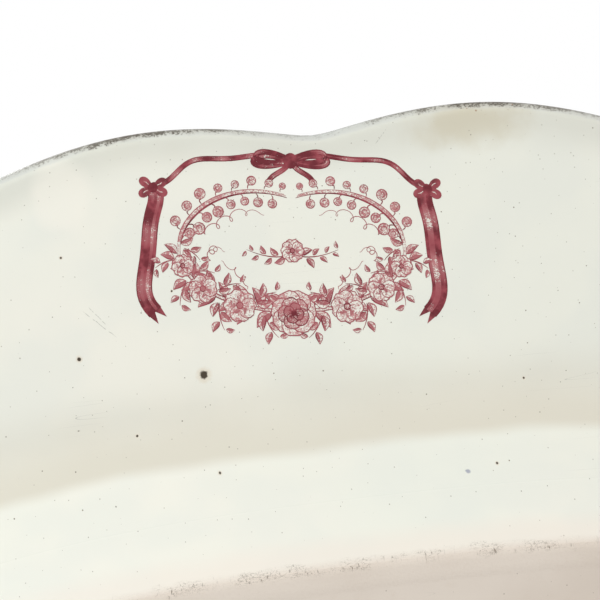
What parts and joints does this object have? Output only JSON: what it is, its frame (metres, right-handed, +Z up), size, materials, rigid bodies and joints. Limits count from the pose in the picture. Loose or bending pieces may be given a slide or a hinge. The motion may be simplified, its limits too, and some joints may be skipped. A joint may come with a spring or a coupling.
{
  "type": "serving platter",
  "caption": "Large oval serving platter in printed and glazed earthenware, with a scalloped rim and a flat well.",
  "frame": {"origin": "on the plane that the foot stands on, under the centre of the platter, which lies face up", "axes": "+Z up out of the well, +X along the platter's length, so -Y faces the long side whose back carries the printed mark"},
  "size_m": [0.441, 0.3528, 0.0383],
  "materials": {
    "clay": "matt",
    "glaze": "gloss",
    "print": "gloss"
  },
  "bodies": {
    "root": {"clay_body": "clay", "glaze_coat": "glaze", "base_glaze": "glaze", "rim_line_print": "print", "border_print": "print", "well_line_print": "print", "mark_wreath_print": "print", "mark_bow": "print", "mark_ribbon_left": "print", "mark_ribbon_right": "print"}
  },
  "joints": []
}
